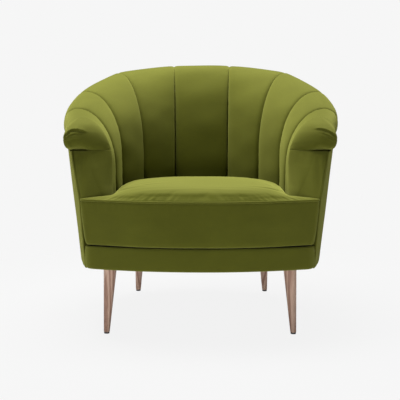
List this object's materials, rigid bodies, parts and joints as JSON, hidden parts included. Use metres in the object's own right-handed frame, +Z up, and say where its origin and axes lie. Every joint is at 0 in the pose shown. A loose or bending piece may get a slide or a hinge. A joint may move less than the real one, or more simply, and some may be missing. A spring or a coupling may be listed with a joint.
{
  "type": "upholstered armchair",
  "caption": "Barrel armchair with a vertically channelled tub back, rolled arms, a loose T-shaped seat cushion and slim tapered wooden legs.",
  "frame": {"origin": "on the floor, under the middle of the outer box", "axes": "+Z up, -Y the way the chair faces, +X the viewer's right seen from the front"},
  "size_m": [0.873, 0.7681, 0.7928],
  "materials": {
    "velvet": "moss-green short-pile velvet",
    "piping": "self-piping in the same velvet",
    "leg_wood": "grey-brown washed oak, matt",
    "frame_wood": "sawn beech",
    "plywood": "birch plywood",
    "foam": "open-cell foam",
    "fibre": "polyester fibre wrap",
    "deck_cloth": "black non-woven cloth",
    "webbing": "woven elastic webbing",
    "zinc_steel": "zinc plated",
    "spring_steel": "black oiled spring wire",
    "clip": "nylon-lined spring clip",
    "glide": "hard plastic glide"
  },
  "bodies": {
    "chair": {"arm_cap_left": "velvet", "arm_cap_right": "velvet", "arm_facing_left": "velvet", "arm_facing_right": "velvet", "arm_panel_left": "velvet", "arm_panel_right": "velvet", "arm_post_left": "frame_wood", "arm_post_right": "frame_wood", "arm_rail_left": "frame_wood", "arm_rail_right": "frame_wood", "back_channel_1": "velvet", "back_channel_2": "velvet", "back_channel_3": "velvet", "back_channel_4": "velvet", "back_channel_5": "velvet", "back_channel_6": "velvet", "back_channel_7": "velvet", "back_post_left": "frame_wood", "back_post_right": "frame_wood", "back_webbing": "webbing", "base_rail_back": "frame_wood", "base_rail_front": "frame_wood", "base_rail_left": "frame_wood", "base_rail_right": "frame_wood", "corner_blocks": "frame_wood", "deck_cover": "deck_cloth", "deck_pad": "foam", "dust_cover": "deck_cloth", "dust_cover_staples": "zinc_steel", "front_border": "velvet", "leg_bolts": "zinc_steel", "leg_front_left": "leg_wood", "leg_front_right": "leg_wood", "leg_glides": "glide", "leg_rear_left": "leg_wood", "leg_rear_right": "leg_wood", "leg_tee_nuts": "zinc_steel", "outside_arm_left": "velvet", "outside_arm_right": "velvet", "outside_back": "velvet", "ring_screws": "zinc_steel", "seat_ring": "plywood", "seat_springs": "spring_steel", "side_post_left": "frame_wood", "side_post_right": "frame_wood", "spring_clips": "clip", "top_rail_back": "frame_wood"},
    "seat_cushion": {"cushion_bottom_panel": "velvet", "cushion_boxing": "velvet", "cushion_core": "foam", "cushion_fibre_crown": "fibre", "cushion_piping": "piping", "cushion_top_panel": "velvet"}
  },
  "joints": [
    {"name": "cushion_lift", "type": "slide", "parent": "chair", "child": "seat_cushion", "axis": [0, 0, 1], "range_m": [0, 0.55]}
  ]
}
